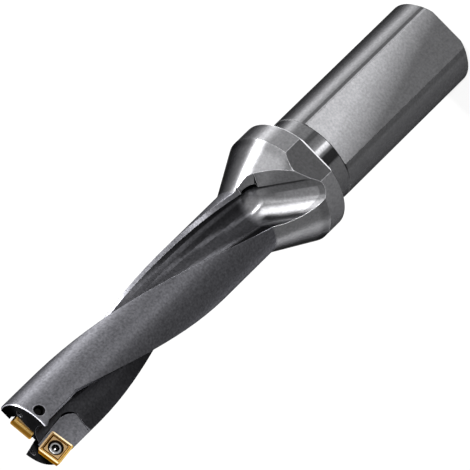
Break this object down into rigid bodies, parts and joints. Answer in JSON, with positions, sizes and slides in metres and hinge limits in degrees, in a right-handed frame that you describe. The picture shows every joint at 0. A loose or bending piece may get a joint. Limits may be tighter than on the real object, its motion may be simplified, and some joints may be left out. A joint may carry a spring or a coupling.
{
  "type": "indexable drill",
  "caption": "Twist drill body with helical chip flutes, a flanged straight shank with a clamping flat, and gold square inserts screwed to its tip.",
  "frame": {"origin": "centre of the rear end of the shank, in the mouth of the coolant bore", "axes": "+Z along the drill from the shank to the tip, +Y out of the clamping flat, +X to the side where the outer insert cuts"},
  "size_m": [0.0322, 0.0311, 0.1601],
  "materials": {
    "drill_steel": "fine ground and milled tool steel, satin",
    "insert_coating": "gold titanium nitride coating on carbide, semi-gloss",
    "screw_steel": "bright steel"
  },
  "bodies": {
    "root": {"drill_body": "drill_steel", "outer_insert": "insert_coating", "inner_insert": "insert_coating", "outer_insert_screw": "screw_steel", "inner_insert_screw": "screw_steel"}
  },
  "joints": []
}
